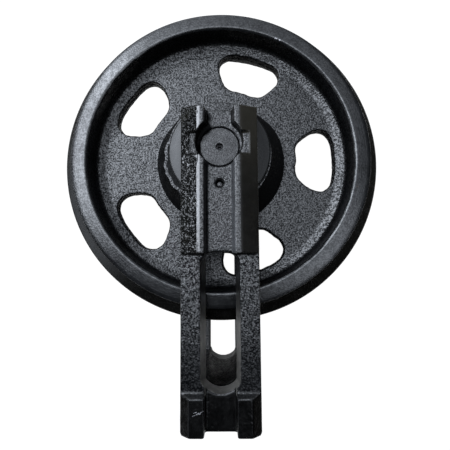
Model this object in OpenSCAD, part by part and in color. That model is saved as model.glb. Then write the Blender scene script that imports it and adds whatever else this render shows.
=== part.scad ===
// Track idler assembly for a small tracked digger: a cast wheel turning on a
// fixed axle that is carried by a two-armed yoke.
// Axle along Z, yoke tail towards -Y, origin at the axle centre on the
// mid-plane of the wheel. The assembly lies on its side, as it is stored.

/* [Wheel] */
// Radius of the centre flange that runs between the track links
flange_r = 205.5; // [200:0.5:212]
// Half width of the flange at its tip
flange_hw = 9.5; // [7:0.5:11]
// Radius of the tread shoulders at their outer edge
tread_r = 187.5; // [184:0.5:189]
// Half width of the wheel across the tread
tread_hw = 36; // [33:0.5:38]
// Height of the rim lip above the mid-plane
lip_z = 39.3; // [38.5:0.1:40.5]
// Radius of the crest of the rim lip
lip_r = 171.5; // [170:0.5:173]
// Radius of the inside of the rim at its mouth
rim_in_r = 168; // [166:0.5:169]
// Half thickness of the web
web_ht = 8; // [6:0.5:10]
// Number of windows in the web
window_count = 5; // [3:1:6]
// Direction of the first window, degrees from +X
window_phase = 1.5; // [-36:0.5:36]

/* [Hub] */
// Radius of the hub where it meets the web
hub_base_r = 82.4; // [80:0.2:86]
// Radius of the hub at its end face
hub_end_r = 69; // [66:0.5:72]
// Height of the hub end face above the mid-plane
hub_end_z = 46.4; // [45:0.2:46.8]
// Outside radius of the bronze bushes
bush_r = 28; // [27:0.5:29]
// Radius of the seal pockets in hub and collar
seal_pocket_r = 37; // [36.5:0.1:37.4]

/* [Axle] */
// Radius of the axle
axle_r = 22.5; // [22:0.1:22.7]
// Half length of the axle
axle_hl = 77; // [76:0.5:78]
// Running clearance between axle and bush, on the radius
run_gap = 0.05; // [0.02:0.01:0.09]
// Radius of the oil filling hole in the axle end
oil_r = 4.4; // [3.5:0.1:5]

/* [Collar] */
// Radius of the seal collar
collar_r = 60.6; // [58:0.2:62]
// Near face of the collar, next to the hub
collar_z0 = 47.4; // [47.2:0.1:48]
// Far face of the collar, seated in the arm
collar_z1 = 61.5; // [61:0.1:63]
// Radius of the dowel that stops the collar turning
dowel_r = 4.8; // [4:0.1:5]
// Distance of the dowel from the axle
dowel_y = 42; // [42:0.5:46]

/* [Yoke] */
// Half width of each arm
arm_hw = 43; // [42:0.5:45]
// Height of the inner face of the arm above the mid-plane
arm_back = 52; // [50:0.5:54]
// Height of the channel floor
floor_z = 77; // [76.5:0.1:78]
// Height of the outer edge of the rails
rail_z = 84; // [82:0.5:86]
// Height of the guide lands and tail blocks
land_z = 92; // [90:0.5:95]
// Position of the head end of the arms
head_y = 43.3; // [42.5:0.1:46]
// Position of the tail end of the arms
tail_y = -310.3; // [-316:0.1:-306]
// Position of the step from the guide lands down to the middle rails
step_y = -121; // [-123:0.5:-119]
// Position of the head end of the slot
slot_y0 = -119.5; // [-121:0.5:-117]
// Position of the tail end of the slot
slot_y1 = -271; // [-273:0.5:-269]
// Half width of the bridge between the arms
bridge_hw = 37; // [34:0.5:39]

/* [Hidden] */
$fn = 128;
seal_z = (hub_end_z + collar_z0) / 2;
toric_r = 34.5;
toric_s = 2.6;
ring_in = 26.5;
ring_out = 32;
oring_z = 58.75;
lock_x = 19.5;
lock_r = 4;
lock_z = 69.25;
flank_x = 23;
block_x = 32.8;

// Points of an arc about (cx, cy) from angle a0 to a1
function arc(cx, cy, r, a0, a1, n) =
    [for (i = [0:n]) let (a = a0 + (a1 - a0) * i / n) [cx + r * cos(a), cy + r * sin(a)]];

// Closed outline whose corners p are rounded with radii q
function unit(v) = v / norm(v);
function corner(p, q, i, n) =
    let (k = len(p), a = p[(i + k - 1) % k], b = p[i], c = p[(i + 1) % k],
         u = unit(a - b), w = unit(c - b),
         h = acos(max(-1, min(1, u * w))) / 2,
         m = unit(u + w), o = b + m * (q[i] / sin(h)),
         s = b + u * (q[i] / tan(h)), e = b + w * (q[i] / tan(h)),
         a0 = atan2(s[1] - o[1], s[0] - o[0]),
         d = atan2(e[1] - o[1], e[0] - o[0]) - a0,
         dd = d > 180 ? d - 360 : (d < -180 ? d + 360 : d))
    arc(o[0], o[1], q[i], a0, a0 + dd, n);
function rounded(p, q, n = 6) = [for (i = [0:len(p) - 1]) each corner(p, q, i, n)];

// Upper half of the wheel section, from the oil chamber out to the flange tip
function wheel_half() = concat(
    [[31, 0], [31, 14], [bush_r, 14], [bush_r, seal_z - 9.1],
     [seal_pocket_r, seal_z - 9.1], [seal_pocket_r, hub_end_z - 0.8],
     [seal_pocket_r + 0.8, hub_end_z], [hub_end_r - 2, hub_end_z], [hub_end_r, hub_end_z - 2]],
    arc(hub_base_r + 5.2, web_ht + 7, 7, 199, 270, 5),
    arc(152, web_ht + 12.5, 12.5, -90, -6, 6),
    [[rim_in_r, lip_z - 2.1], [lip_r - 0.6, lip_z], [lip_r + 0.6, lip_z],
     [tread_r - 0.8, tread_hw + 0.2], [tread_r, tread_hw - 0.7]],
    arc(tread_r + 5, flange_hw + 7.4, 4, 190, 260, 4),
    arc(flange_r - 1.8, flange_hw - 0.8, 1.8, 70, 0, 3));

// Outline of one window in the web, centred on the +X direction
function window() = rounded(
    [[97.2, -20.5], [118, -38.6], [140, -38.2], [149.6, -22], [151.4, 0],
     [149.6, 22], [140, 38.2], [118, 38.6], [97.2, 20.5]],
    [10, 18, 13, 24, 60, 24, 13, 18, 10]);

module idler_wheel() {
    h = wheel_half();
    color([0.07, 0.075, 0.08])
    difference() {
        rotate_extrude()
            polygon(concat(h, [for (i = [len(h) - 1:-1:1]) [h[i][0], -h[i][1]]]));
        for (i = [0:window_count - 1])
            rotate([0, 0, window_phase + i * 360 / window_count])
                translate([0, 0, -web_ht - 2])
                    linear_extrude(2 * web_ht + 4) polygon(window());
    }
}

module bush() {
    color([0.62, 0.45, 0.2])
    rotate_extrude()
        polygon([[axle_r + run_gap, 16.5], [axle_r + run_gap + 0.6, 16], [bush_r - 0.6, 16],
            [bush_r, 16.6], [bush_r, 36.5], [axle_r + run_gap + 0.6, 36.5], [axle_r + run_gap, 36]]);
}

// Metal face ring of a floating seal, standing off the seal plane by s * z
module face_ring(s) {
    g = 0.06;
    color([0.55, 0.56, 0.58])
    rotate_extrude()
        polygon([for (p = [[ring_in, 8.1], [ring_out - 0.8, 8.1], [ring_out, 7.3], [ring_out, 2.5],
            [34.4, 2.5], [34.4, g], [30, g], [ring_in, g + 0.9]]) [p[0], seal_z + s * p[1]]]);
}

// Rubber ring that carries a face ring and presses it to its partner
module toric(s) {
    color([0.03, 0.03, 0.03])
    translate([0, 0, seal_z + s * 6])
        rotate_extrude() translate([toric_r, 0]) circle(r = toric_s, $fn = 32);
}

module axle_shaft() {
    color([0.22, 0.22, 0.23])
    difference() {
        rotate_extrude()
            polygon([[0, -axle_hl], [axle_r - 1, -axle_hl], [axle_r, 1 - axle_hl],
                [axle_r, axle_hl - 1], [axle_r - 1, axle_hl], [0, axle_hl]]);
        translate([0, 0, -4]) cylinder(r = oil_r, h = axle_hl + 5);
        translate([0, 0, -axle_hl - 1]) cylinder(r = oil_r, h = 11);
        rotate([0, 90, 0]) cylinder(r = 3, h = 2 * axle_r + 2, center = true);
        for (s = [-1, 1])
            translate([lock_x, 50, s * lock_z]) rotate([90, 0, 0]) cylinder(r = lock_r, h = 100, $fn = 48);
    }
}

module oil_plug() {
    color([0.12, 0.12, 0.13])
    difference() {
        translate([0, 0, 63]) cylinder(r = oil_r, h = 7, $fn = 64);
        translate([0, 0, 66]) cylinder(r = 2.6, h = 5, $fn = 6);
    }
}

module collar() {
    color([0.12, 0.125, 0.13])
    difference() {
        rotate_extrude()
            polygon([[axle_r, oring_z + 1.9], [axle_r, collar_z1], [collar_r - 1.2, collar_z1],
                [collar_r, collar_z1 - 1.2], [collar_r, collar_z0 + 1.2], [collar_r - 1.2, collar_z0],
                [seal_pocket_r + 0.8, collar_z0], [seal_pocket_r, collar_z0 + 0.8],
                [seal_pocket_r, seal_z + 9.1], [axle_r, seal_z + 9.1], [axle_r, oring_z - 1.9],
                [axle_r + 3.4, oring_z - 1.9], [axle_r + 3.4, oring_z + 1.9]]);
        translate([0, -dowel_y, collar_z1 - 4.5]) cylinder(r = dowel_r, h = 10, $fn = 48);
    }
}

module axle_o_ring() {
    color([0.03, 0.03, 0.03])
    translate([0, 0, oring_z])
        rotate_extrude() translate([axle_r + 1.7, 0]) circle(r = 1.75, $fn = 32);
}

// Bar along Y from y0 down to y1 with a section given in X and Z
module bar(y0, y1, section) {
    translate([0, y0, 0]) rotate([90, 0, 0]) linear_extrude(y0 - y1) polygon(section);
}

// The slot that runs through both arms and the bridge: drafted sides with
// rounded ends, from height z0 up to z1
module slot(z0, z1) {
    intersection() {
        bar(slot_y0 + 1, slot_y1 - 1, [[-17.2, z0], [17.2, z0], [17.2, arm_back],
            [21.3, rail_z], [21.3, z1], [-21.3, z1], [-21.3, rail_z], [-17.2, arm_back]]);
        translate([0, 0, z0]) linear_extrude(z1 - z0)
            polygon(concat(arc(0, slot_y1 + 22, 22, 180, 360, 24),
                arc(22 - 14, slot_y0 - 14, 14, 0, 90, 8),
                arc(-22 + 14, slot_y0 - 14, 14, 90, 180, 8)));
    }
}

module yoke_arm() {
    color([0.06, 0.065, 0.07])
    difference() {
        union() {
            // head with guide lands and bevelled flanks
            bar(head_y, step_y, [[-arm_hw, arm_back], [arm_hw, arm_back], [arm_hw, rail_z],
                [flank_x, land_z], [16.5, land_z], [14.3, floor_z], [-14.3, floor_z],
                [-16.5, land_z], [-flank_x, land_z], [-arm_hw, rail_z]]);
            // middle rails
            bar(step_y, slot_y1 + 10, [[-arm_hw, arm_back], [arm_hw, arm_back], [arm_hw, rail_z], [-arm_hw, rail_z]]);
            // tail floor and blocks with a sloping front
            intersection() {
                bar(slot_y1 + 10, tail_y, [[-arm_hw, arm_back], [arm_hw, arm_back], [arm_hw, rail_z],
                    [block_x, land_z], [17.3, land_z], [16.8, floor_z], [-16.8, floor_z],
                    [-17.3, land_z], [-block_x, land_z], [-arm_hw, rail_z]]);
                translate([-60, 0, 0]) rotate([90, 0, 90]) linear_extrude(120)
                    polygon([[slot_y1 + 10, arm_back - 1], [slot_y1 + 10, rail_z], [slot_y1 + 3.2, rail_z],
                        [slot_y1 + 0.2, land_z], [slot_y1 + 0.2, land_z + 1], [tail_y - 1, land_z + 1],
                        [tail_y - 1, arm_back - 1]]);
            }
        }
        slot(arm_back - 1, land_z + 2);
        // seat for the collar, axle bore and relief around the axle end
        translate([0, 0, arm_back - 1]) cylinder(r = collar_r + 0.1, h = collar_z1 - arm_back + 1);
        translate([0, 0, arm_back]) cylinder(r = axle_r + 0.45, h = 40);
        translate([0, 3.5, floor_z]) cylinder(r = 26.6, h = 20);
        // notches across the rails beside the axle
        for (s = [-1, 1])
            translate([s * 17, 1 - 13, 86.6]) mirror([s < 0 ? 1 : 0, 0, 0]) cube([17, 26, 10]);
        // dowel and lock pin holes
        translate([0, -dowel_y, arm_back]) cylinder(r = dowel_r, h = 30, $fn = 48);
        translate([lock_x, 50, lock_z]) rotate([90, 0, 0]) cylinder(r = lock_r, h = 70, $fn = 48);
        // rounded tail corners
        for (s = [-1, 1])
            translate([s * (arm_hw - 4), tail_y + 4, arm_back - 1])
                linear_extrude(60) difference() {
                    translate([s < 0 ? -6 : 0, -6]) square(6);
                    circle(r = 4, $fn = 48);
                }
    }
}

module yoke_bridge() {
    color([0.06, 0.065, 0.07])
    difference() {
        translate([-bridge_hw, tail_y, -arm_back])
            cube([2 * bridge_hw, slot_y1 + 14 - tail_y, 2 * arm_back]);
        slot(-arm_back - 1, arm_back + 1);
    }
}

// Pair of fillet welds along the corner of bridge and arm
module weld_beads() {
    color([0.08, 0.08, 0.085])
    for (s = [0, 1]) mirror([s, 0, 0])
        bar(slot_y1 + 12, tail_y + 3, concat([[bridge_hw, arm_back]],
            arc(bridge_hw - 1.5, arm_back + 1.5, 7.2, -12, -78, 6)));
}

module collar_dowel() {
    color([0.5, 0.5, 0.5])
    translate([0, -dowel_y, collar_z1 - 4.5])
        rotate_extrude() polygon([[0, 0], [dowel_r - 0.6, 0], [dowel_r, 0.6], [dowel_r, 13.2],
            [dowel_r - 1.2, 14.4], [0, 14.4]]);
}

module axle_lock_pin() {
    color([0.3, 0.3, 0.31])
    translate([lock_x, head_y - 1.5, lock_z]) rotate([90, 0, 0])
        rotate_extrude() polygon([[0, 0], [lock_r - 0.6, 0], [lock_r, 0.6], [lock_r, 60.4],
            [lock_r - 0.6, 61], [0, 61]]);
}

// Mirror image on the far side of the wheel
module far() { mirror([0, 0, 1]) children(); }

idler_wheel();
bush();  // bush_near
far() bush();  // bush_far
face_ring(-1);  // wheel_seal_ring_near
far() face_ring(-1);  // wheel_seal_ring_far
toric(-1);  // wheel_toric_near
far() toric(-1);  // wheel_toric_far
axle_shaft();
oil_plug();
collar();  // collar_near
far() collar();  // collar_far
face_ring(1);  // collar_seal_ring_near
far() face_ring(1);  // collar_seal_ring_far
toric(1);  // collar_toric_near
far() toric(1);  // collar_toric_far
axle_o_ring();  // axle_o_ring_near
far() axle_o_ring();  // axle_o_ring_far
yoke_arm();  // yoke_arm_near
far() yoke_arm();  // yoke_arm_far
yoke_bridge();
weld_beads();  // weld_beads_near
far() weld_beads();  // weld_beads_far
collar_dowel();  // collar_dowel_near
far() collar_dowel();  // collar_dowel_far
axle_lock_pin();  // axle_lock_pin_near
far() axle_lock_pin();  // axle_lock_pin_far
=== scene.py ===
import math

import bmesh
import bpy
import numpy as np
from mathutils import Matrix, Vector
from mathutils.geometry import delaunay_2d_cdt


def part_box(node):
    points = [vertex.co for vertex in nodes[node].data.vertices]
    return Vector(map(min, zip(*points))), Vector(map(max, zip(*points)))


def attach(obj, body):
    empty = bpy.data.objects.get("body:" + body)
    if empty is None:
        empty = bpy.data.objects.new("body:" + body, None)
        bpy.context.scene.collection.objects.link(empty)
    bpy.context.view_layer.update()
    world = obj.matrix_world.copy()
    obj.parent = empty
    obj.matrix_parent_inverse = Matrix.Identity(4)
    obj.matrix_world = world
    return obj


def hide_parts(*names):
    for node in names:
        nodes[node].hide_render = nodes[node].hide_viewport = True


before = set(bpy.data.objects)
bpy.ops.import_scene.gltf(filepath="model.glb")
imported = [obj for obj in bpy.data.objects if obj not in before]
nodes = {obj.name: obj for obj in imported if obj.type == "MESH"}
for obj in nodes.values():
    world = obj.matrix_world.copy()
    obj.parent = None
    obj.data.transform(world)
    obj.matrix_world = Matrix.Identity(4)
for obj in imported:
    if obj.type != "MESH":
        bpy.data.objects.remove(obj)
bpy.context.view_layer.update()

scene = bpy.context.scene
MM = 0.001
FLOOR_Z = -0.092


# ---------------------------------------------------------------- helpers

GRAD = np.array([[1, 1, 0], [-1, 1, 0], [1, -1, 0], [-1, -1, 0], [1, 0, 1], [-1, 0, 1],
                 [1, 0, -1], [-1, 0, -1], [0, 1, 1], [0, -1, 1], [0, 1, -1], [0, -1, -1]], float)


def noise(p, wave, seed):
    """Smooth noise of about -0.7 to 0.7 at points p, both in mm."""
    q = np.asarray(p, float) / wave + np.array([seed * 7.13, seed * 3.71, seed * 5.37])
    i = np.floor(q).astype(np.int64)
    f = q - i
    u = f * f * f * (f * (f * 6 - 15) + 10)
    out = np.zeros(len(q))
    for c in range(8):
        o = np.array([c & 1, c >> 1 & 1, c >> 2 & 1])
        j = i + o
        h = (j[:, 0] * 73856093 ^ j[:, 1] * 19349663 ^ j[:, 2] * 83492791 ^ seed * 2654435) & 0x7FFFFFFF
        h = (h * 1103515245 + 12345) & 0x7FFFFFFF
        h = h ^ (h >> 15)
        out += np.where(o, u, 1 - u).prod(1) * ((f - o) * GRAD[h % 12]).sum(1)
    return out


def sstep(a, b, x):
    t = np.clip((np.asarray(x, float) - a) / (b - a), 0, 1)
    return t * t * (3 - 2 * t)


def arc(cx, cy, r, a0, a1, n):
    return [(cx + r * math.cos(math.radians(a0 + (a1 - a0) * i / n)),
             cy + r * math.sin(math.radians(a0 + (a1 - a0) * i / n))) for i in range(n + 1)]


def line(a, b, n, last=False):
    return [(a[0] + (b[0] - a[0]) * i / n, a[1] + (b[1] - a[1]) * i / n) for i in range(n + (1 if last else 0))]


def build(name, verts, faces, slots=None, sharp=38):
    """New object from points in mm, normals made to face outwards."""
    me = bpy.data.meshes.new(name)
    me.from_pydata((np.asarray(verts, float) * MM).tolist(), [], faces)
    if slots is not None:
        me.polygons.foreach_set("material_index", np.asarray(slots, np.int32))
    bm = bmesh.new()
    bm.from_mesh(me)
    bmesh.ops.recalc_face_normals(bm, faces=bm.faces)
    bm.to_mesh(me)
    bm.free()
    me.polygons.foreach_set("use_smooth", np.ones(len(me.polygons), bool))
    me.set_sharp_from_angle(angle=math.radians(sharp))
    me.update()
    ob = bpy.data.objects.new(name, me)
    scene.collection.objects.link(ob)
    return ob


def coords(me):
    a = np.zeros(len(me.vertices) * 3, np.float64)
    me.vertices.foreach_get("co", a)
    return a.reshape(-1, 3) / MM


def normals(me):
    a = np.zeros(len(me.vertices) * 3, np.float32)
    me.vertices.foreach_get("normal", a)
    return a.reshape(-1, 3).astype(float)


def set_coords(me, p):
    me.vertices.foreach_set("co", (p * MM).astype(np.float32).ravel())
    me.update()


# ---------------------------------------------------------------- materials

class Graph:
    """A material's nodes, with short ways to make the usual ones."""

    def __init__(self, name):
        self.mat = bpy.data.materials.new(name)
        self.mat.use_nodes = True
        self.t = self.mat.node_tree
        self.t.nodes.clear()
        out = self.t.nodes.new("ShaderNodeOutputMaterial")
        self.bsdf = self.t.nodes.new("ShaderNodeBsdfPrincipled")
        self.t.links.new(self.bsdf.outputs[0], out.inputs[0])
        self.obj = self.t.nodes.new("ShaderNodeTexCoord").outputs["Object"]
        self.normal = None

    def link(self, a, b):
        self.t.links.new(a, b)

    def put(self, sock, value):
        if hasattr(value, "is_output"):
            self.link(value, sock)
        else:
            sock.default_value = value

    def math(self, op, a, b=0.0, c=None, clamp=False):
        n = self.t.nodes.new("ShaderNodeMath")
        n.operation = op
        n.use_clamp = clamp
        self.put(n.inputs[0], a)
        self.put(n.inputs[1], b)
        if c is not None:
            self.put(n.inputs[2], c)
        return n.outputs[0]

    def step(self, x, a, b, lo=0.0, hi=1.0):
        """lo below a, hi above b, smooth between."""
        n = self.t.nodes.new("ShaderNodeMapRange")
        n.interpolation_type = "SMOOTHSTEP"
        self.put(n.inputs["Value"], x)
        n.inputs["From Min"].default_value = a
        n.inputs["From Max"].default_value = b
        n.inputs["To Min"].default_value = lo
        n.inputs["To Max"].default_value = hi
        return n.outputs["Result"]

    def xyz(self, v=None):
        n = self.t.nodes.new("ShaderNodeSeparateXYZ")
        self.link(v or self.obj, n.inputs[0])
        return n.outputs

    def stretch(self, s, turn=(0, 0, 0), shift=(0, 0, 0)):
        n = self.t.nodes.new("ShaderNodeMapping")
        self.link(self.obj, n.inputs["Vector"])
        n.inputs["Scale"].default_value = s
        n.inputs["Rotation"].default_value = [math.radians(a) for a in turn]
        n.inputs["Location"].default_value = shift
        return n.outputs[0]

    def noise(self, wave_mm, detail=2.0, rough=0.5, vec=None, distort=0.0):
        n = self.t.nodes.new("ShaderNodeTexNoise")
        n.inputs["Scale"].default_value = 1000.0 / wave_mm
        n.inputs["Detail"].default_value = detail
        n.inputs["Roughness"].default_value = rough
        n.inputs["Distortion"].default_value = distort
        self.link(vec or self.obj, n.inputs["Vector"])
        return n.outputs["Fac"]

    def noise1(self, x, per_unit, detail=2.0):
        """Noise along one number, as turning marks along a radius."""
        n = self.t.nodes.new("ShaderNodeTexNoise")
        n.noise_dimensions = "1D"
        n.inputs["Scale"].default_value = per_unit
        n.inputs["Detail"].default_value = detail
        self.link(x, n.inputs["W"])
        return n.outputs["Fac"]

    def cells(self, wave_mm, vec=None):
        n = self.t.nodes.new("ShaderNodeTexVoronoi")
        n.inputs["Scale"].default_value = 1000.0 / wave_mm
        self.link(vec or self.obj, n.inputs["Vector"])
        return n.outputs["Distance"]

    def mix(self, fac, a, b):
        n = self.t.nodes.new("ShaderNodeMix")
        n.data_type = "RGBA"
        self.put(n.inputs[0], fac)
        self.put(n.inputs[6], a if hasattr(a, "is_output") else (*a, 1.0))
        self.put(n.inputs[7], b if hasattr(b, "is_output") else (*b, 1.0))
        return n.outputs[2]

    def mixf(self, fac, a, b):
        n = self.t.nodes.new("ShaderNodeMix")
        n.data_type = "FLOAT"
        self.put(n.inputs[0], fac)
        self.put(n.inputs[2], a)
        self.put(n.inputs[3], b)
        return n.outputs[0]

    def bump(self, height, mm, strength=1.0):
        n = self.t.nodes.new("ShaderNodeBump")
        n.inputs["Distance"].default_value = mm * MM
        self.put(n.inputs["Strength"], strength)
        self.link(height, n.inputs["Height"])
        if self.normal is not None:
            self.link(self.normal, n.inputs["Normal"])
        self.normal = n.outputs[0]

    def point(self):
        return self.t.nodes.new("ShaderNodeNewGeometry").outputs["Pointiness"]

    def radius(self):
        n = self.t.nodes.new("ShaderNodeVectorMath")
        n.operation = "MULTIPLY"
        self.link(self.obj, n.inputs[0])
        n.inputs[1].default_value = (1, 1, 0)
        m = self.t.nodes.new("ShaderNodeVectorMath")
        m.operation = "LENGTH"
        self.link(n.outputs[0], m.inputs[0])
        return m.outputs["Value"]

    def near(self, at_mm, r0, r1):
        """1 within r0 mm of a point, 0 beyond r1."""
        n = self.t.nodes.new("ShaderNodeVectorMath")
        n.operation = "DISTANCE"
        self.link(self.obj, n.inputs[0])
        n.inputs[1].default_value = [c * MM for c in at_mm]
        return self.step(n.outputs["Value"], r0 * MM, r1 * MM, 1.0, 0.0)

    def stroke(self, a, b, z, width):
        """1 along a short scratch from a to b (mm) on a face at height z."""
        o = self.xyz()
        dx, dy = b[0] - a[0], b[1] - a[1]
        ln = math.hypot(dx, dy)
        px, py = self.math("SUBTRACT", o[0], a[0] * MM), self.math("SUBTRACT", o[1], a[1] * MM)
        along = self.math("ADD", self.math("MULTIPLY", px, dx / ln), self.math("MULTIPLY", py, dy / ln))
        across = self.math("ABSOLUTE", self.math("SUBTRACT", self.math("MULTIPLY", px, dy / ln), self.math("MULTIPLY", py, dx / ln)))
        k = self.math("MULTIPLY", self.step(along, 0, 1.5 * MM), self.step(along, (ln - 1.5) * MM, ln * MM, 1.0, 0.0))
        k = self.math("MULTIPLY", k, self.step(across, 0.2 * width * MM, width * MM, 1.0, 0.0))
        return self.math("MULTIPLY", k, self.step(o[2], (z - 3) * MM, (z - 2) * MM))

    def done(self, color, rough, metal=0.0, ior=1.5, coat=0.0, spec=0.5):
        b = self.bsdf
        self.put(b.inputs["Base Color"], color)
        self.put(b.inputs["Roughness"], rough)
        b.inputs["Metallic"].default_value = metal
        b.inputs["IOR"].default_value = ior
        self.put(b.inputs["Specular IOR Level"], spec)
        b.inputs["Coat Weight"].default_value = coat
        if self.normal is not None:
            self.link(self.normal, b.inputs["Normal"])
        return self.mat


def cast_paint(name, dark, light, rough, grain, lumps=(0, 0), pits=0.0, edge_wear_and_sheen=0.0, edge_wear_and_sheen_rgb=(0.05, 0.051, 0.054), tint=None, spec=0.5,
               speck=None, shade=(), strokes=(), warm=None, fade=None):
    """Black paint over a sand casting: grain and lumps are (wave mm, height mm), speck the gloss, low in the grain's
    hollows as a painted shade and high on its tops.
    """
    g = Graph(name)
    broad = g.noise(34, 3, 0.55)
    fine = g.noise(grain[0], 1.2, 0.5, distort=0.25)
    tone = g.mix(g.step(broad, 0.35, 0.65), dark, light)
    tone = g.mix(g.step(fine, 0.5, 0.74, 0.0, 0.55), tone, [c * 2.2 for c in light])
    if tint is not None:
        tone = g.mix(g.step(g.noise(19, 4, 0.6), 0.5, 0.72, 0.0, 0.8), tone, tint)
    r = g.mixf(g.step(g.noise(9, 3), 0.3, 0.7), rough[0], rough[1])
    if lumps[1]:
        g.bump(g.noise(lumps[0], 2, 0.5), lumps[1])
    if pits:
        g.bump(g.step(g.cells(6.5), 0.08, 0.3), pits)
    g.bump(fine, grain[1])
    # rubbed paint on sharp edges, made lighter: partly real wear, partly a painted highlight along the edges
    if edge_wear_and_sheen:
        edge = g.math("MULTIPLY", g.step(g.point(), 0.515, 0.58), g.step(g.noise(7, 4, 0.65), 0.38, 0.62, 0.15, 1.0))
        tone = g.mix(g.math("MULTIPLY", edge, edge_wear_and_sheen), tone, edge_wear_and_sheen_rgb)
    if speck:
        # painted shade: the gloss drops in the hollows of the grain
        spec = g.step(g.mixf(0.25, fine, g.noise(grain[0] * 2.3, 1, 0.5)), speck[2], speck[3], speck[0], speck[1])
    if fade:  # gloss scaled along the arm: on the rails a painted shade darkening them towards the tail, on the rough flank lower towards the head
        spec = g.math("MULTIPLY", spec, g.step(g.xyz()[1], fade[0] * MM, fade[1] * MM, fade[2], fade[3]))
    for at, r0, r1 in shade:  # painted shade: colour and gloss darkened near given points, standing for shadow in hollows and corners
        k = g.near(at, r0, r1)
        tone = g.mix(k, tone, (0.0004, 0.0004, 0.0005))
        spec = g.mixf(k, spec, 0.02)
    if warm:  # another tone towards the head
        tone = g.mix(g.step(g.xyz()[1], warm[0] * MM, warm[1] * MM), tone, warm[2])
    for a, b, z, width in strokes:
        tone = g.mix(g.math("MULTIPLY", g.stroke(a, b, z, width), g.step(g.noise(2.2, 2), 0.35, 0.6)), tone, (0.17, 0.17, 0.175))
    return g.done(tone, r, spec=spec)


def turned_paint(name, dark, light, rough, lines, grain, speck=0.0, spec=0.5, gloss=None, shade=(), rust=(), nicks=(), across=None):
    """Black paint over a turned face: lines is (marks per metre of radius, height mm)."""
    g = Graph(name)
    rad = g.radius()
    marks = g.noise1(rad, lines[0], 3)
    fine = g.noise(grain[0], 2, 0.55)
    tone = g.mix(g.step(g.noise(26, 3), 0.35, 0.65), dark, light)
    tone = g.mix(g.step(marks, 0.5, 0.75, 0, 0.5), tone, [c * 1.7 for c in light])
    if speck:
        tone = g.mix(g.step(g.noise(5, 4, 0.7), 0.66, 0.76, 0, speck), tone, (0.03, 0.03, 0.032))
    r = g.mixf(g.step(g.noise(14, 3), 0.3, 0.7), rough[0], rough[1])
    g.bump(marks, lines[1])
    g.bump(fine, grain[1])
    if gloss:
        spec = g.math("MULTIPLY", g.step(fine, 0.36, 0.64, gloss[0], gloss[1]), g.step(g.noise(8, 4, 0.65), 0.36, 0.62, 0.82, 1.1))
    if across:  # painted light: gloss falling from the lit left side to the right
        spec = g.step(g.xyz()[0], across[0] * MM, across[1] * MM, across[2], across[3])
    # painted shade: colour and gloss darkened near given points
    for at, r0, r1 in shade:
        k = g.near(at, r0, r1)
        tone = g.mix(k, tone, (0.0004, 0.0004, 0.0005))
        spec = g.mixf(k, spec, 0.02)
    for at, r0, r1 in rust:
        k = g.math("MULTIPLY", g.near(at, r0, r1), g.step(g.noise(1.6, 3), 0.38, 0.55))
        tone = g.mix(k, tone, (0.07, 0.032, 0.012))
    for at, r0, r1 in nicks:
        tone = g.mix(g.near(at, r0, r1), tone, (0.3, 0.3, 0.31))
    return g.done(tone, r, spec=spec)


M_WEB = cast_paint("paint_cast_web", (0.0012, 0.0013, 0.0015), (0.0026, 0.0028, 0.0032), (0.27, 0.36),
                   (2.0, 0.5), (11, 0.35), speck=(0.1, 0.66, 0.38, 0.62))
M_HUB = cast_paint("paint_cast_hub", (0.0008, 0.0009, 0.001), (0.0016, 0.0017, 0.0018), (0.6, 0.72),
                   (2.6, 0.34), (9, 0.4), spec=0.12)
M_RING = turned_paint("paint_turned_rim", (0.0016, 0.0018, 0.0021), (0.003, 0.0033, 0.0038), (0.18, 0.25),
                      (700, 0.05), (2.0, 0.12), 0.2, gloss=(0.36, 0.58), rust=(((168.1, -40.1, 37), 1.2, 2.6),),
                      nicks=(((71.6, 153.3, 39.1), 0.5, 1.3), ((73.6, 152.6, 39.1), 0.3, 0.9), ((77.1, 150.8, 39.1), 0.5, 1.4)))
M_FLANGE = turned_paint("paint_turned_flange", (0.0008, 0.0008, 0.0006), (0.0016, 0.0015, 0.0012), (0.2, 0.28),
                        (900, 0.03), (2.0, 0.12), 0.12)
M_BORE = turned_paint("bore_turned", (0.05, 0.05, 0.05), (0.09, 0.09, 0.088), (0.3, 0.42), (1500, 0.01), (1.5, 0.02))
M_YOKE = cast_paint("paint_yoke_cast", (0.0016, 0.0017, 0.0017), (0.0034, 0.0035, 0.0035), (0.26, 0.38),
                    (2.0, 0.8), (10, 0.45), 0.0, 0.3)
# painted shade: the rails' gloss falls towards the tail
M_RAIL = cast_paint("paint_yoke_rail", (0.0012, 0.0013, 0.0015), (0.0026, 0.0028, 0.0031), (0.25, 0.35),
                    (1.6, 0.42), (8, 0.3), 0.05, 0.2, speck=(0.04, 0.78, 0.39, 0.66), fade=(-255, -185, 0.35, 1.0))
# painted shadow of the left land on the channel floor and the axle end
PAINTED_SHADOW_SPOTS = (((-18.5, 22.5, 77), 8, 11.5), ((-27, 12, 77), 6, 12), ((-29, -1, 77), 7, 10.5), ((-14, 34, 77), 2, 9))
M_CHANNEL = cast_paint("paint_yoke_channel", (0.0022, 0.0024, 0.0027), (0.004, 0.0043, 0.0047), (0.28, 0.38),
                       (1.6, 0.45), (14, 0.25), 0.0, 0.2, speck=(0.14, 0.64, 0.38, 0.62),
                       shade=PAINTED_SHADOW_SPOTS)
M_LAND = cast_paint("paint_yoke_land", (0.004, 0.0042, 0.0044), (0.008, 0.0083, 0.0086), (0.26, 0.36),
                    (1.8, 0.35), (16, 0.18), 0.0, 0.4, (0.03, 0.031, 0.032), speck=(0.25, 0.75, 0.36, 0.64))
M_LAND_B = cast_paint("paint_yoke_land_dull", (0.002, 0.0021, 0.0022), (0.005, 0.0052, 0.0054), (0.26, 0.36),
                      (2.0, 0.4), (16, 0.25), 0.0, 0.9, (0.09, 0.091, 0.094), speck=(0.12, 0.6, 0.36, 0.64))
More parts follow.
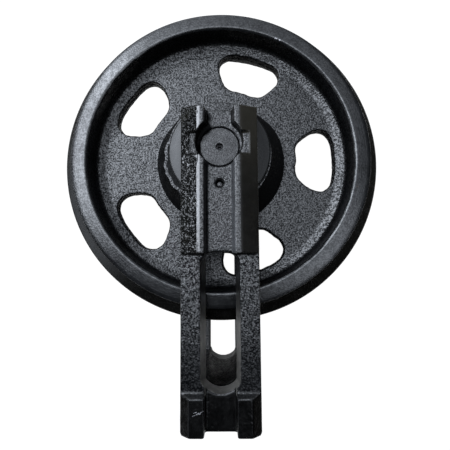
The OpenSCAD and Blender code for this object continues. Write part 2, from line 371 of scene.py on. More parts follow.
M_FLANK_A = cast_paint("paint_yoke_flank_rough", (0.0008, 0.0008, 0.0007), (0.0022, 0.0023, 0.002), (0.24, 0.36),
                       (2.0, 0.8), (8, 0.8), 0.25, 0.3, tint=(0.0065, 0.0063, 0.0045), speck=(0.03, 0.95, 0.45, 0.7), fade=(-20, 38, 1.0, 0.4))
M_FLANK_B = cast_paint("paint_yoke_flank_smooth", (0.0022, 0.002, 0.0016), (0.0034, 0.0031, 0.0024), (0.3, 0.38),
                       (3.4, 0.06), (18, 0.1), 0.0, 0.25, spec=0.16, warm=(-70, 45, (0.013, 0.0118, 0.0088)))
M_BLOCK = cast_paint("paint_yoke_block", (0.0005, 0.0005, 0.0005), (0.001, 0.001, 0.001), (0.16, 0.26),
                     (3.4, 0.16), (11, 0.14), 0.08, 0.3, spec=0.2,
                     strokes=(((-29.5, -287.5), (-20, -284.6), 92, 0.7), ((-26, -286), (-17.2, -282.2), 92, 0.7), ((-29, -284.6), (-24, -283.2), 92, 0.6)))
# slot walls: the light warm grey towards the tail is painted light, standing for the lit floor reflected in the walls;
# towards the head they are black paint; a painted shade darkens the slot's end
M_WALL = cast_paint("paint_yoke_slot_wall", (0.05, 0.048, 0.044), (0.08, 0.077, 0.071), (0.3, 0.4),
                    (4.0, 0.05), (16, 0.08), 0.0, 0.1, warm=(-212, -152, (0.0016, 0.0017, 0.0017)),
                    shade=(((0, -287, 80), 1, 30),))
# painted light: the channel's right wall, facing the light, is painted light grey
M_CHEEK_LIT = cast_paint("paint_channel_cheek_lit", (0.03, 0.031, 0.033), (0.06, 0.062, 0.065), (0.3, 0.4), (2.0, 0.2), (12, 0.1))
# painted highlight: lighter, glossier paint along the rounded outer edge of the left land (the rounding itself is real
# geometry)
M_EDGE_HIGHLIGHT = cast_paint("paint_land_edge_highlight", (0.006, 0.0062, 0.0065), (0.012, 0.0123, 0.0128), (0.2, 0.28), (2.6, 0.1), (14, 0.12), spec=0.75)
# painted light: the collar's gloss falls from its lit left side to the right
M_COLLAR = turned_paint("paint_turned_collar", (0.002, 0.0022, 0.0023), (0.0036, 0.0039, 0.004), (0.26, 0.34),
                        (420, 0.09), (3.0, 0.08), 0.1, across=(-40, 40, 0.33, 0.17))
# the axle end carries part of the painted shadow of the left land
M_AXLE = turned_paint("paint_turned_axle", (0.002, 0.0022, 0.0025), (0.0036, 0.0039, 0.0043), (0.34, 0.44),
                      (1100, 0.02), (1.6, 0.4), 0.2, spec=0.42, gloss=(0.28, 0.56), shade=PAINTED_SHADOW_SPOTS[:3])
# painted shade: the bridge darkens towards the near arm
M_BRIDGE = cast_paint("paint_yoke_bridge", (0.0012, 0.0013, 0.0013), (0.0026, 0.0027, 0.0027), (0.3, 0.42),
                      (2.0, 0.8), (10, 0.45), 0.0, 0.0, speck=(0.05, 0.75, 0.4, 0.66), shade=(((0, -271, 38), 8, 60),))
M_WELD = cast_paint("paint_weld", (0.0014, 0.0015, 0.0016), (0.0032, 0.0033, 0.0034), (0.24, 0.36),
                    (1.4, 0.1), (5, 0.14), 0.0, 0.35)


def plain_metal(name, dark, light, rough, marks, metal=1.0):
    g = Graph(name)
    n = g.noise(marks[0], 4, 0.6)
    tone = g.mix(g.step(n, 0.3, 0.7), dark, light)
    r = g.mixf(g.step(g.noise(4, 3), 0.3, 0.7), rough[0], rough[1])
    g.bump(n, marks[1])
    return g.done(tone, r, metal)


M_PIN = plain_metal("ground_steel", (0.05, 0.05, 0.05), (0.13, 0.13, 0.132), (0.22, 0.34), (1.6, 0.03))
M_DOWEL = plain_metal("dowel_steel", (0.02, 0.02, 0.02), (0.05, 0.05, 0.051), (0.24, 0.36), (1.6, 0.03))
M_SEAL = plain_metal("lapped_steel", (0.42, 0.43, 0.45), (0.55, 0.56, 0.58), (0.18, 0.28), (2.0, 0.01))
M_BRONZE = plain_metal("turned_bronze", (0.42, 0.27, 0.1), (0.6, 0.4, 0.18), (0.26, 0.38), (1.8, 0.02))
M_PLUG = plain_metal("dark_plug", (0.012, 0.012, 0.013), (0.03, 0.03, 0.032), (0.35, 0.5), (1.2, 0.04), 0.6)
M_RUBBER = plain_metal("nitrile", (0.012, 0.012, 0.012), (0.022, 0.022, 0.021), (0.6, 0.75), (0.8, 0.03), 0.0)


# ---------------------------------------------------------------- wheel

SEG = 360
TH = np.arange(SEG) * 2 * math.pi / SEG


def outline(cx, radii):
    """Closed smooth outline about (cx, 0) through radii at equal angles."""
    n = len(radii)
    t = np.linspace(0, n, 24 * n, endpoint=False)
    i = np.floor(t).astype(int)
    f = t - i
    r = np.asarray(radii, float)
    a, b, c, d = (r[(i + k) % n] for k in (-1, 0, 1, 2))
    r = b + 0.5 * f * (c - a + f * (2 * a - 5 * b + 4 * c - d + f * (3 * (b - c) + d - a)))
    ang = t * 2 * math.pi / n
    return np.c_[cx + r * np.cos(ang), r * np.sin(ang)]


def even(loop, step):
    """Closed loop of points a step apart."""
    p = np.vstack([loop, loop[:1]])
    s = np.r_[0, np.cumsum(np.linalg.norm(np.diff(p, axis=0), axis=1))]
    n = int(round(s[-1] / step))
    t = np.arange(n) * s[-1] / n
    return np.c_[np.interp(t, s, p[:, 0]), np.interp(t, s, p[:, 1])]


def out_normals(loop):
    t = np.roll(loop, -1, 0) - np.roll(loop, 1, 0)
    n = np.c_[t[:, 1], -t[:, 0]]
    n /= np.linalg.norm(n, axis=1)[:, None]
    c = loop.mean(0)
    return n * np.sign(((loop - c) * n).sum(1).sum())


def inside(pts, loop):
    a, b = loop, np.roll(loop, -1, 0)
    hit = np.zeros(len(pts), bool)
    for (x0, y0), (x1, y1) in zip(a, b):
        if y0 == y1:
            continue
        c = (pts[:, 1] < y0) != (pts[:, 1] < y1)
        hit ^= c & (pts[:, 0] < (x1 - x0) * (pts[:, 1] - y0) / (y1 - y0) + x0)
    return hit


def make_wheel():
    web, edge, join = 8.0, 2.2, 155.5

    def web_z(r):
        """Height of the web, rising in a cone towards the rim."""
        return web + 0.404 * 0.5 * (r - 153 + np.sqrt((r - 153) ** 2 + 0.5)) - 0.404 * 0.25 * 0.5 / 65

    deg = np.degrees(TH)

    def hub_rows(side):
        """Rows from the cove at the web up to the end face, each (r, z, zone)."""
        start = 88.0
        away = sstep(24, 60, deg) * (1 - sstep(134, 168, deg))
        draw = 3.4 * away  # the casting is drawn in there
        rows = [(np.full(SEG, start), np.full(SEG, web), "rim")]
        for r, z, zone in ((85.6, 8.0, "rim"), (84.3, 8.1, "rim"), (83.6, 8.6, "hub"), (83.1, 9.6, "hub"), (82.8, 11.0, "hub")):
            rows.append((r - draw, np.full(SEG, z), zone))
        # the end face carries a ragged ledge of flash on part of the turn
        a, b, seed = (146, 250, 5) if side > 0 else (292, 352, 9)
        ledge = sstep(a, a + 36, deg) * (1 - sstep(b - 16, b, deg))
        ring = np.c_[68 * np.cos(TH), 68 * np.sin(TH), np.zeros(SEG)]
        rag = 3.4 * noise(ring, 15, seed) + 1.3 * noise(ring, 6, seed + 1)
        lip = 62.6 + 1.5 * sstep(100, 128, deg) * (1 - sstep(252, 280, deg)) + 0.5 * noise(ring, 12, seed + 2) + 2.2 * away + ledge * (3.9 + rag)
        foot = (82.8, 11.0)
        n = 12
        for i in range(1, n + 1):
            t = i / n
            bow = 1.6 * math.sin(math.pi * t)
            top_r, top_z = lip + 1.5, 44.6
            rows.append(((foot[0] - draw) * (1 - t) + top_r * t + bow * 0.5,
                         np.full(SEG, foot[1] + (top_z - foot[1]) * t + bow * 0.2), "hub"))
        rows.append((lip + 0.9, np.full(SEG, 45.7), "hub"))
        rows.append((lip + 0.1, np.full(SEG, 46.3), "rim"))
        rows.append((lip - 1.0, np.full(SEG, 46.4), "rim"))
        # painted shade: the flat band between the ledge and the collar takes the dull hub paint, standing for the dark
        # gap there
        rows.append((np.minimum(lip - 1.3, np.maximum(lip - 3.2, 61.2)), np.full(SEG, 46.35), "hub"))
        rows.append((np.full(SEG, 60.2), np.full(SEG, 46.2), "hub"))
        for r, z, zone in ((59, 46.4, "bore"), (48, 46.4, "bore"), (37.8, 46.4, "bore"), (37, 45.6, "bore"), (37, 37.8, "bore"),
                           (28, 37.8, "bore"), (28, 14, "bore"), (31, 14, "bore")):
            rows.append((np.full(SEG, float(r)), np.full(SEG, z), zone))
        return rows

    near, far = hub_rows(1), hub_rows(-1)
    hub = near + [(np.full(SEG, 31.0), np.zeros(SEG), "bore")] + [(r, -z, k) for r, z, k in far[::-1]]

    def rim_rows(seed):
        ring = np.c_[168 * np.cos(TH), 168 * np.sin(TH), np.zeros(SEG)]
        rag = 0.5 * noise(ring, 16, seed) + 0.35 * noise(ring, 6, seed + 1)
        rows = [(np.full(SEG, r), np.full(SEG, float(web_z(r))), "rim") for r in (join, 156.8, 158.2, 159.6)]
        rows += [(np.full(SEG, r), np.full(SEG, z), "rim") for r, z in arc(158.63, 17.29, 6.5, -68, -7, 9)]
        for i in range(1, 9):
            t = i / 9
            rows.append((165.08 + t * (166.7 - 165.08) + t * rag, np.full(SEG, 16.5 + t * (37.2 - 16.5)), "rim"))
        # turned part: bevelled lip, face, broken edge
        rows.append((166.7 + rag, np.full(SEG, 37.2), "ring"))
        rows.append((167.3 + rag * 0.8, np.full(SEG, 37.9), "ring"))
        for r, z in ((168.7, 38.75), (169.4, 39.08), (169.9, 39.2), (170.4, 39.22), (171, 39.18), (174, 38.91),
                     (178, 38.5), (182, 38.05), (186.9, 37.48), (187.2, 37.35), (187.42, 37.08), (187.55, 36.5),
                     (187.6, 35.4)):
            rows.append((np.full(SEG, r), np.full(SEG, z), "ring"))
        for r, z in ((187.6, 30), (187.65, 25), (187.8, 21.5), (188.2, 19.2), (189.2, 17.9), (191, 16.6), (195, 14.5),
                     (199.5, 12.3), (203.6, 10.4), (204.6, 9.85), (205.2, 9.3), (205.46, 8.6)):
            rows.append((np.full(SEG, r), np.full(SEG, z), "flange"))
        rows.append((np.full(SEG, 205.48), np.full(SEG, 3.0), "flange"))
        return rows

    ra, rb = rim_rows(21), rim_rows(31)
    rim = ra + [(r, -z, k) for r, z, k in rb[::-1]]

    verts, faces, zones = [], [], []

    def strip(rows):
        base = len(verts)
        for r, z, _ in rows:
            verts.extend(np.c_[r * np.cos(TH), r * np.sin(TH), z].tolist())
        for i in range(len(rows) - 1):
            zone = rows[i][2] if rows[i][1][0] > 0 or rows[i + 1][1][0] > 0 else rows[i + 1][2]
            for k in range(SEG):
                m = (k + 1) % SEG
                a, b = base + i * SEG, base + (i + 1) * SEG
                faces.append((a + k, a + m, b + m, b + k))
                zones.append(zone)
        return base

    h0 = strip(hub)
    r0 = strip(rim)
    h1, r1 = h0 + (len(hub) - 1) * SEG, r0 + (len(rim) - 1) * SEG

    # windows: walls with rounded edges, a slight draft and a parting line
    shape = outline(125, [26.2, 26.9, 29.5, 34.0, 38.6, 40.4, 38.6, 34.8, 33.0, 31.8, 29.2, 25.7,
                          24.6, 26.1, 29.9, 34.0, 36.0, 38.6, 42.4, 43.8, 40.6, 33.8, 28.8, 26.7])
    wall = [(edge * (1 - math.sin(t)), web - edge * (1 - math.cos(t))) for t in np.linspace(0, math.pi / 2, 6)]
    wall += [(-0.1, 3.4), (-0.25, 0.9), (-0.75, 0.35)]
    wall = wall + [(-0.75, -0.35)] + [(o, -z) for o, z in wall[::-1][1:]]
    loops, w_near, w_far = [], [], []
    for i in range(5):
        c, s = math.cos(math.radians(1.5 + 72 * i)), math.sin(math.radians(1.5 + 72 * i))
        loop = even(shape @ np.array([[c, s], [-s, c]]), 1.6)
        nrm = out_normals(loop)
        p3 = np.c_[loop, np.zeros(len(loop))]
        loop = loop + nrm * (0.6 * noise(p3, 17, 41) + 0.5 * noise(p3, 6, 42))[:, None]
        nrm = out_normals(loop)
        m = len(loop)
        base = len(verts)
        for o, z in wall:
            wob = 0.22 * noise(np.c_[loop, np.full(m, z)], 4.5, 43) * (1 if abs(z) < web - 1 else 0)
            q = loop + nrm * (o + wob)[:, None]
            lift = (web_z(np.hypot(*q.T)) - web) * max(0, (abs(z) - 3) / 5) * np.sign(z)
            verts.extend(np.c_[q, z + lift].tolist())
        for j in range(len(wall) - 1):
            for k in range(m):
                n2 = (k + 1) % m
                a, b = base + j * m, base + (j + 1) * m
                faces.append((a + k, a + n2, b + n2, b + k))
                zones.append("rim")
        loops.append(np.array(verts[base:base + m])[:, :2])
        w_near.append(list(range(base, base + m)))
        w_far.append(list(range(base + (len(wall) - 1) * m, base + len(wall) * m)))

    # web faces, filled between the rings and the windows
    near_ids = list(range(h0, h0 + SEG)) + list(range(r0, r0 + SEG)) + [i for w in w_near for i in w]
    far_ids = list(range(h1, h1 + SEG)) + list(range(r1, r1 + SEG)) + [i for w in w_far for i in w]
    flat = np.array([verts[i][:2] for i in near_ids])
    edges, at = [], 0
    for n in [SEG, SEG] + [len(w) for w in w_near]:
        edges += [(at + k, at + (k + 1) % n) for k in range(n)]
        at += n
    step = 1.9
    gx, gy = np.meshgrid(np.arange(-156, 156, step), np.arange(-156, 156, step * 0.866))
    gx = gx + (np.arange(gx.shape[0]) % 2)[:, None] * step / 2
    grid = np.c_[gx.ravel(), gy.ravel()]
    grid = grid + 0.3 * np.random.RandomState(3).uniform(-1, 1, grid.shape)
    rr = np.hypot(*grid.T)
    grid = grid[(rr > 89.1) & (rr < join - 1.1)]
    keep = np.ones(len(grid), bool)
    for loop in loops:
        keep &= ~inside(grid, loop)
        keep &= np.sqrt(((grid[:, None] - loop[None]) ** 2).sum(2)).min(1) > 1.0
    grid = grid[keep]
    pts = np.vstack([flat, grid])
    co, _, tris, orig, _, _ = delaunay_2d_cdt([Vector(p) for p in pts], edges, [], 0, 1e-6)
    mid = np.array([np.mean([co[i][:] for i in t], axis=0) for t in tris])
    ok = (np.hypot(*mid.T) > 88.05) & (np.hypot(*mid.T) < join)
    for loop in loops:
        ok &= ~inside(mid, loop)
    ids_n, ids_f = {}, {}
    for j in range(len(co)):
        o = orig[j][0]
        if o < len(flat):
            ids_n[j], ids_f[j] = near_ids[o], far_ids[o]
    used = sorted({i for t, k in zip(tris, ok) if k for i in t if i not in ids_n})
    for j in used:
        ids_n[j] = len(verts)
        verts.append([co[j][0], co[j][1], web_z(co[j].length)])
    for j in used:
        ids_f[j] = len(verts)
        verts.append([co[j][0], co[j][1], -web_z(co[j].length)])
    for t, k in zip(tris, ok):
        if k:
            faces.append(tuple(ids_n[i] for i in t))
            faces.append(tuple(ids_f[i] for i in t[::-1]))
            zones += ["web", "web"]

    slot = {"web": 0, "rim": 0, "hub": 1, "ring": 2, "flange": 3, "bore": 4}
    ob = build("wheel_casting", verts, faces, [slot[z] for z in zones], 24)
    me = ob.data
    # cast skin: uneven where it was never turned
    p, n = coords(me), normals(me)
    cast = np.zeros(len(p))
    idx = np.zeros(len(me.polygons), np.int32)
    me.polygons.foreach_get("material_index", idx)
    for f, k in zip(me.polygons, idx):
        if k < 2:
            for v in f.vertices:
                cast[v] = 1
    for f, k in zip(me.polygons, idx):
        if k >= 2:
            for v in f.vertices:
                cast[v] = 0
    r = np.hypot(p[:, 0], p[:, 1])
    cast *= 1 - 0.6 * sstep(162, 167, r)
    bump = 0.16 * noise(p, 30, 1) + 0.10 * noise(p, 13, 2) + 0.11 * noise(p, 6.2, 3)
    # rougher skin in a few places
    patch = sstep(0.05, 0.4, noise(p, 55, 4))
    bump += patch * 0.16 * noise(p, 5.0, 5)
    bump += (r < 82) * (0.35 * noise(p, 11, 6) + 0.2 * noise(p, 5, 7))
    seam = (p[:, 0] > 84) & (np.abs(p[:, 1] + 4.0 + 0.04 * (p[:, 0] - 84) + 0.7 * noise(p, 9, 8)) < 1.1) & (p[:, 0] < 156)
    bump -= 0.55 * seam
    set_coords(me, p + n * (cast * bump)[:, None])
    for m in (M_WEB, M_HUB, M_RING, M_FLANGE, M_BORE):
        me.materials.append(m)
    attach(ob, "wheel")
    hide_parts("idler_wheel")
    return ob


# ---------------------------------------------------------------- yoke

def skin(node, name, voxel, smooth):
    """The node's solid as one even mesh with its edges broken, ready for a cast skin."""
    tmp = bpy.data.objects.new("tmp", nodes[node].data.copy())
    scene.collection.objects.link(tmp)
    m = tmp.modifiers.new("skin", "REMESH")
    m.mode = "VOXEL"
    m.voxel_size = voxel * MM
    m.use_smooth_shade = True
    s = tmp.modifiers.new("ease", "SMOOTH")
    s.factor = 0.5
    s.iterations = smooth
    dg = bpy.context.evaluated_depsgraph_get()
    me = bpy.data.meshes.new_from_object(tmp.evaluated_get(dg))
    old = tmp.data
    bpy.data.objects.remove(tmp)
    bpy.data.meshes.remove(old)
    me.name = name
    me.materials.clear()
    ob = bpy.data.objects.new(name, me)
    scene.collection.objects.link(ob)
    return ob


def clip_to(node, p, gap=0.02):
    lo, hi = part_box(node)
    return np.clip(p, np.array(lo) / MM + gap, np.array(hi) / MM - gap)


def make_arm(node, name, sign, seed):
    ob = skin(node, name, 1.15, 3)
    me = ob.data
    p, n = coords(me), normals(me)
    q = p * [1, 1, sign]  # as on the near side
    nz = n[:, 2] * sign
    top = sstep(0.5, 0.9, nz)
    head = sstep(-124, -119, q[:, 1])
    flank = head * (np.abs(q[:, 0]) > 23.4) * (q[:, 2] > 80) * top
    left = flank * (q[:, 0] < 0)
    land = (q[:, 2] > 91) * top
    mid = (1 - head) * (q[:, 1] > -266) * (q[:, 2] > 82) * top
    ax = np.abs(q[:, 0])
    h = 3.0
    turn = (ax > 23 - h) & (ax < 23 + h) & (q[:, 1] > -121.5) & (q[:, 2] > 88) & (nz > 0.4)
    ease = np.where(turn, 92 - 0.1 * (ax - 23 + h) ** 2 / h - np.where(ax < 23, 92, 92 - 0.4 * (ax - 23)), 0)
    p = p + np.c_[np.zeros((len(p), 2)), sign * ease]
    d = 0.10 * noise(p, 24, seed) + 0.07 * noise(p, 9, seed + 1) + 0.05 * noise(p, 4.6, seed + 2)
    d *= 1 - 0.75 * np.clip(land + flank * (q[:, 0] > 0), 0, 1)
    d += left * (0.42 * noise(p, 9, seed + 3) + 0.32 * noise(p, 4.6, seed + 4)) * (0.55 + 0.45 * sstep(-130, 0, q[:, 1]))
    d += mid * (0.07 * noise(p, 6, seed + 5) + 0.06 * noise(p, 3.9, seed + 6))
    set_coords(me, clip_to(node, p + n * d[:, None]))

    c = np.zeros(len(me.polygons) * 3, np.float32)
    me.polygons.foreach_get("center", c)
    c = c.reshape(-1, 3) / MM * [1, 1, sign]
    fn = np.zeros(len(me.polygons) * 3, np.float32)
    me.polygons.foreach_get("normal", fn)
    fn = fn.reshape(-1, 3) * [1, 1, sign]
    ax = np.abs(c[:, 0])
    slot = np.zeros(len(c), np.int32)
    up = fn[:, 2] > 0.6
    isle = up & (c[:, 1] > -121.5)
    slot[isle & (c[:, 2] < 79)] = 2
    slot[isle & (ax > 15) & (ax < 23.3) & (c[:, 2] > 89)] = 3
    slot[isle & (ax >= 23.3) & (c[:, 0] < 0) & (c[:, 2] > 80)] = 4
    slot[isle & (ax >= 23.3) & (c[:, 0] > 0) & (c[:, 2] > 80)] = 5
    notch = isle & (ax < 34.6) & (c[:, 1] > -12.6) & (c[:, 1] < 14.6) & (np.abs(c[:, 2] - 86.5) < 0.8) & (fn[:, 2] > 0.97)
    slot[notch] = 2
    slot[up & (c[:, 1] <= -121.5) & (c[:, 2] > 80) & (c[:, 1] > -267)] = 1
    slot[(c[:, 1] <= -266) & (c[:, 2] > 76) & (fn[:, 2] > 0.3)] = 6
    wall = (np.abs(fn[:, 2]) < 0.5) & (ax < 22.2) & (c[:, 1] < -118) & (c[:, 1] > -272.5) & (c[:, 2] < 84.5)
    slot[wall] = 7
    slot[(fn[:, 1] > 0.5) & (c[:, 1] < -264) & (c[:, 1] > -274) & (c[:, 2] > 76)] = 3
    slot[isle & (ax > 15) & (ax < 23.3) & (c[:, 2] > 89) & (c[:, 0] < 0)] = 8
    # painted highlight along the left land's outer edge
    slot[isle & (ax > 21.6) & (ax < 24.4) & (c[:, 2] > 89) & (c[:, 0] < 0)] = 9
    # the channel's right wall, facing the light, takes the painted-light cheek paint
    slot[(fn[:, 0] < -0.6) & (c[:, 0] > 13) & (c[:, 0] < 17.5) & (c[:, 1] > -121) & (c[:, 1] < -18) & (c[:, 2] > 77.5)] = 10
    me.polygons.foreach_set("material_index", slot)
    me.polygons.foreach_set("use_smooth", np.ones(len(me.polygons), bool))
    for m in (M_YOKE, M_RAIL, M_CHANNEL, M_LAND, M_FLANK_A, M_FLANK_B, M_BLOCK, M_WALL, M_LAND_B, M_EDGE_HIGHLIGHT, M_CHEEK_LIT):
        me.materials.append(m)
    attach(ob, "yoke")
    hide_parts(node)
    return ob


def make_bridge():
    ob = skin("yoke_bridge", "bridge_casting", 1.3, 4)
    me = ob.data
    p, n = coords(me), normals(me)
    d = 0.16 * noise(p, 22, 71) + 0.12 * noise(p, 8, 72) + 0.07 * noise(p, 4.6, 73)
    set_coords(me, clip_to("yoke_bridge", p + n * d[:, None]))
    me.polygons.foreach_set("use_smooth", np.ones(len(me.polygons), bool))
    me.materials.append(M_BRIDGE)
    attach(ob, "yoke")
    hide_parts("yoke_bridge")


def make_welds(node, name, sign, seed):
    """Two fillet beads laid down in overlapping ripples, thinner where each starts and stops."""
    verts, faces = [], []
    y0, y1, row = -259.0, -307.2, 0.55
    n = int((y0 - y1) / row)
    ang = np.radians(np.linspace(6, -96, 15))
    for side in (-1, 1):
        base = len(verts)
        for i in range(n + 1):
            y = y0 - i * (y0 - y1) / n
            end = min(1.0, (0.25 + min(i, n - i) / 9) ** 0.6)
            back = 1.1 * np.sin((ang - ang[0]) / (ang[-1] - ang[0]) * math.pi)  # ripples bow along the bead
            ph = (y + back + side * 1.3) / 2.7
            rip = 0.32 * (1 - np.abs(2 * (ph - np.floor(ph)) - 1)) ** 0.7
            pts = np.c_[np.full(15, side * 40.0), np.full(15, y), np.full(15, 49.0)]
            rad = (6.45 * end + rip + 0.45 * noise(pts + np.c_[np.zeros(15), np.zeros(15), ang * 5], 7, seed) * end)
            x = 35.5 + rad * np.cos(ang)
            z = 53.5 + rad * np.sin(ang)
            x, z = np.maximum(x, 36.4), np.minimum(z, 52.6)
            verts.extend(np.c_[side * x, np.full(15, y), sign * z].tolist())
            verts.append([side * 36.2, y, sign * 52.8])
        w = 16
        for i in range(n):
            for k in range(w):
                m = (k + 1) % w
                a, b = base + i * w, base + (i + 1) * w
                faces.append((a + k, a + m, b + m, b + k))
        faces.append(tuple(base + k for k in range(w)))
        faces.append(tuple(base + n * w + k for k in range(w))[::-1])
    ob = build(name, verts, faces, None, 60)
    ob.data.materials.append(M_WELD)
    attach(ob, "yoke")
    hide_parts(node)


def lathe(name, profile, at, segs, sign):
    """Closed ring or bar turned about Z from (r, z) points, r 0 at both ends if it is solid."""
    a = np.arange(segs) * 2 * math.pi / segs
    verts, faces, rows = [], [], []
    for r, z in profile:
        if r == 0:
            rows.append([len(verts)])
            verts.append([at[0], at[1], sign * z])
        else:
            rows.append(list(range(len(verts), len(verts) + segs)))
            verts.extend(np.c_[at[0] + r * np.cos(a), at[1] + r * np.sin(a), np.full(segs, sign * z)].tolist())
    pairs = list(zip(rows, rows[1:]))
    if profile[0][0]:
        pairs.append((rows[-1], rows[0]))
    for p, q in pairs:
        for k in range(segs):
            m = (k + 1) % segs
            if len(p) == 1:
                faces.append((p[0], q[k], q[m]))
            elif len(q) == 1:
                faces.append((p[k], q[0], p[m]))
            else:
                faces.append((p[k], p[m], q[m], q[k]))
    return build(name, verts, faces, None, 32)


def make_collar(side, sign):
    """Seal collar: its outer face falls away a little towards the rim and has a broken edge."""
    face = [(43.5, 61.5), (46, 61.35), (50, 60.95), (54, 60.4), (57, 60.0), (58.6, 59.86), (59.5, 59.72), (60.2, 59.3), (60.58, 58.5)]
    back = [(60.6, 57), (60.6, 52), (60.6, 48.9), (60.3, 48.0), (59.6, 47.5), (58.8, 47.4), (37.8, 47.4), (37, 48.2), (37, 56.0)]
    inner = [(22.5, 56.0), (22.5, 56.6), (25.9, 56.6), (25.9, 60.4), (22.5, 60.4), (22.5, 61.5), (33, 61.5)]
    ob = lathe("collar_turned_" + side, face + back + inner, (0, 0), 240, sign)
    ob.data.materials.append(M_COLLAR)
    ob.data.materials.append(M_CHANNEL)
    for f in ob.data.polygons:
        c = f.center / MM
        if c.y > 34 and abs(c.x) < 30 and abs(c.z) > 56:
            f.material_index = 1
    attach(ob, "yoke")
    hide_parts("collar_" + side)


def make_dowel(side, sign):
    """Dowel with a domed end."""
    dome = [(4.8 * math.sin(t), 69.4 + 2.0 * math.cos(t)) for t in np.linspace(0, math.pi / 2, 12)]
    dome[0] = (0, dome[0][1])
    ob = lathe("dowel_" + side, dome + [(4.8, 64), (4.8, 57.7), (4.6, 57.2), (4.2, 57.0), (0, 57.0)], (0, -42), 48, sign)
    ob.data.materials.append(M_DOWEL)
    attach(ob, "yoke")
    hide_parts("collar_dowel_" + side)


for s_, k_ in (("near", 1), ("far", -1)):
    make_collar(s_, k_)
    make_dowel(s_, k_)
make_wheel()
make_arm("yoke_arm_near", "arm_near_casting", 1, 101)
make_arm("yoke_arm_far", "arm_far_casting", -1, 131)
make_bridge()
make_welds("weld_beads_near", "welds_near", 1, 61)
make_welds("weld_beads_far", "welds_far", -1, 66)


# ---------------------------------------------------------------- carried-over nodes

def dress(node, mat):
    ob = nodes[node]
    for i in range(max(1, len(ob.material_slots))):
        if not ob.material_slots:
            ob.data.materials.append(mat)
        else:
            ob.material_slots[i].material = mat


for s in ("near", "far"):
    dress("bush_" + s, M_BRONZE)
    dress("wheel_seal_ring_" + s, M_SEAL)
    dress("collar_seal_ring_" + s, M_SEAL)
    dress("wheel_toric_" + s, M_RUBBER)
    dress("collar_toric_" + s, M_RUBBER)
    dress("axle_o_ring_" + s, M_RUBBER)
    dress("axle_lock_pin_" + s, M_PIN)
dress("axle_shaft", M_AXLE)
dress("oil_plug", M_PLUG)


# ---------------------------------------------------------------- stage, light, camera

def plane(name, size, z):
    me = bpy.data.meshes.new(name)
    s = size / 2
    me.from_pydata([(-s, -s, z), (s, -s, z), (s, s, z), (-s, s, z)], [], [(0, 1, 2, 3)])
    ob = bpy.data.objects.new(name, me)
    scene.collection.objects.link(ob)
    return ob


floor = plane("floor", 60, FLOOR_Z)
fm = bpy.data.materials.new("stage_white")
fm.use_nodes = True
ft = fm.node_tree
ft.nodes.clear()
fo = ft.nodes.new("ShaderNodeOutputMaterial")
fa = ft.nodes.new("ShaderNodeAddShader")
fe = ft.nodes.new("ShaderNodeEmission")
fe.inputs["Color"].default_value = (1.0, 1.0, 1.0, 1)
fd = ft.nodes.new("ShaderNodeBsdfDiffuse")
fd.inputs["Color"].default_value = (0.05, 0.05, 0.05, 1)
ft.links.new(fe.outputs[0], fa.inputs[0])
ft.links.new(fd.outputs[0], fa.inputs[1])
# seen from below it is clear, so the underside can be looked at
fb = ft.nodes.new("ShaderNodeNewGeometry")
fx = ft.nodes.new("ShaderNodeMixShader")
fc = ft.nodes.new("ShaderNodeBsdfTransparent")
ft.links.new(fb.outputs["Backfacing"], fx.inputs[0])
ft.links.new(fa.outputs[0], fx.inputs[1])
ft.links.new(fc.outputs[0], fx.inputs[2])
ft.links.new(fx.outputs[0], fo.inputs[0])
floor.data.materials.append(fm)


def dome(name, radius, z0):
    """Round backdrop all about, meeting the floor well away from the part."""
    n, m = 48, 16
    pts, quads = [], []
    for i in range(m + 1):
        e = math.radians(-60 + 149 * i / m)
        for k in range(n):
            a = 2 * math.pi * k / n
            pts.append((radius * math.cos(e) * math.cos(a), radius * math.cos(e) * math.sin(a), z0 + radius * math.sin(e)))
    for i in range(m):
        for k in range(n):
            j = (k + 1) % n
            quads.append((i * n + k, i * n + j, (i + 1) * n + j, (i + 1) * n + k))
    quads.append(tuple(m * n + k for k in range(n)))
    quads.append(tuple(range(n))[::-1])
    me = bpy.data.meshes.new(name)
    me.from_pydata(pts, [], quads)
    ob = bpy.data.objects.new(name, me)
    scene.collection.objects.link(ob)
    return ob


backdrop = dome("backdrop", 24, FLOOR_Z)
dm = bpy.data.materials.new("stage_backdrop")
dm.use_nodes = True
dm.node_tree.nodes.clear()
do = dm.node_tree.nodes.new("ShaderNodeOutputMaterial")
de = dm.node_tree.nodes.new("ShaderNodeEmission")
de.inputs["Color"].default_value = (1.0, 1.0, 1.0, 1)
dm.node_tree.links.new(de.outputs[0], do.inputs[0])
backdrop.data.materials.append(dm)
for ob_ in (floor, backdrop):
    ob_.visible_glossy = False
    ob_.visible_diffuse = False
    ob_.visible_shadow = False

bounce = plane("floor_bounce", 60, FLOOR_Z - 0.0005)
bm_ = bpy.data.materials.new("stage_bounce")
bm_.use_nodes = True
bp = bm_.node_tree.nodes["Principled BSDF"]
bp.inputs["Base Color"].default_value = (0.56, 0.53, 0.48, 1)
bp.inputs["Roughness"].default_value = 0.9
bounce.data.materials.append(bm_)
bounce.visible_camera = False

world = bpy.data.worlds.new("studio")
scene.world = world
world.use_nodes = True
wt = world.node_tree
wt.nodes.clear()


def wmath(op, a, b=0.0, clamp=False):
    n = wt.nodes.new("ShaderNodeMath")
    n.operation = op
    n.use_clamp = clamp
    for s, v in zip(n.inputs, (a, b)):
        if hasattr(v, "is_output"):
            wt.links.new(v, s)
        else:
            s.default_value = v
    return n.outputs[0]


def wstep(x, a, b, lo, hi):
    n = wt.nodes.new("ShaderNodeMapRange")
    n.interpolation_type = "SMOOTHSTEP"
    wt.links.new(x, n.inputs["Value"])
    for k, v in (("From Min", a), ("From Max", b), ("To Min", lo), ("To Max", hi)):
        n.inputs[k].default_value = v
    return n.outputs["Result"]


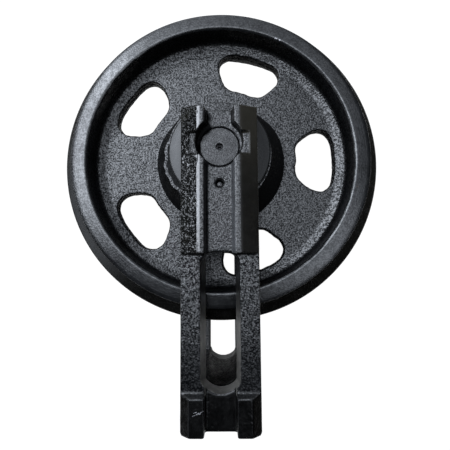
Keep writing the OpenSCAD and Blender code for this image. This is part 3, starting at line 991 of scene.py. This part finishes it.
wo = wt.nodes.new("ShaderNodeOutputWorld")
tc = wt.nodes.new("ShaderNodeTexCoord")
sx = wt.nodes.new("ShaderNodeSeparateXYZ")
wt.links.new(tc.outputs["Generated"], sx.inputs[0])
zz = wmath("MAXIMUM", sx.outputs[2], 0.08)
u = wmath("DIVIDE", sx.outputs[0], zz)
v = wmath("DIVIDE", sx.outputs[1], zz)
def wprod(*f):
    out = f[0]
    for g in f[1:]:
        out = wmath("MULTIPLY", out, g)
    return out


def wspot(cu, cv, size):
    du, dv = wmath("SUBTRACT", u, cu), wmath("SUBTRACT", v, cv)
    d = wmath("SQRT", wmath("ADD", wmath("MULTIPLY", du, du), wmath("MULTIPLY", dv, dv)))
    return wstep(d, size * 0.25, size, 1.0, 0.0)


up = wstep(sx.outputs[2], 0.1, 0.4, 0.0, 1.0)
# broad ceiling of light, ending above the tail and fading to the right and towards the head
tail = wmath("SUBTRACT", v, wmath("MULTIPLY", wmath("MAXIMUM", u, -0.12), 0.5))
tail = wmath("SUBTRACT", tail, wmath("MULTIPLY", wmath("MAXIMUM", wmath("SUBTRACT", -0.12, u), 0.0), 0.35))
far_v = wmath("SUBTRACT", 1.0, wmath("MULTIPLY", wstep(v, 0.6, 1.05, 0.0, 1.0), wstep(u, -0.1, 0.2, 0.72, 0.36)))
ceiling = wprod(wstep(tail, -0.27, 0.1, 0.01, 1.0), far_v, wstep(u, -0.28, 0.2, 2.3, 0.52),
                wstep(u, 0.42, 0.88, 1.0, 0.03), wstep(u, -1.1, -0.7, 0.02, 1.0), up)
# window-like panel on the left, its brightest part up the slope, a low glow beside it and a small light low on the right
panel = wprod(wstep(u, -1.0, -0.82, 0.0, 1.0), wstep(u, -0.6, -0.48, 1.0, 0.0), wstep(v, -0.12, 0.04, 0.0, 1.0),
              wstep(v, 1.0, 1.5, 1.0, 0.0), wstep(v, 0.3, 0.6, 1.02, 0.66), up)
glow = wprod(wstep(sx.outputs[0], -0.9, -0.6, 1.0, 0.0), wstep(sx.outputs[2], 0.18, 0.33, 0.0, 1.0), wstep(sx.outputs[2], 0.42, 0.58, 1.0, 0.0),
             wstep(sx.outputs[1], -0.72, -0.32, 0.0, 1.0))
key = wmath("ADD", wmath("MULTIPLY", ceiling, 3.3), wmath("MULTIPLY", panel, 6.0))
key = wmath("ADD", key, wmath("MULTIPLY", wspot(-0.58, 0.81, 0.22), 12.0))
key = wmath("ADD", key, wmath("MULTIPLY", wspot(0.46, -0.14, 0.42), 3.7))
key = wmath("ADD", key, wmath("MULTIPLY", glow, 1.5))
be = wt.nodes.new("ShaderNodeBackground")
be.inputs["Color"].default_value = (0.92, 0.99, 1.1, 1)
wt.links.new(key, be.inputs["Strength"])
bf = wt.nodes.new("ShaderNodeBackground")
bf.inputs["Color"].default_value = (1.0, 0.97, 0.88, 1)
wt.links.new(wprod(wstep(sx.outputs[2], 0.0, 0.7, 0.11, 0.015), wstep(sx.outputs[1], -0.75, -0.2, 0.3, 1.0)), bf.inputs["Strength"])
ad = wt.nodes.new("ShaderNodeAddShader")
wt.links.new(be.outputs[0], ad.inputs[0])
wt.links.new(bf.outputs[0], ad.inputs[1])
wt.links.new(ad.outputs[0], wo.inputs[0])

cam_data = bpy.data.cameras.new("camera")
cam_data.sensor_width = 36.0
cam_data.lens = 28.37
cam_data.clip_start = 0.01
cam_data.clip_end = 100
cam = bpy.data.objects.new("camera", cam_data)
scene.collection.objects.link(cam)
right, upv, back = (0.9999, -0.0079, -0.0124), (0.0089, 0.996, 0.0884), (0.0116, -0.0885, 0.996)
rot = Matrix((right, upv, back)).transposed()
cam.matrix_world = Matrix.Translation((0.01036, -0.1245, 0.4706)) @ rot.to_4x4()
scene.camera = cam

scene.view_settings.view_transform = "Standard"
scene.view_settings.look = "None"
scene.view_settings.exposure = 0.0
scene.view_settings.gamma = 1.0
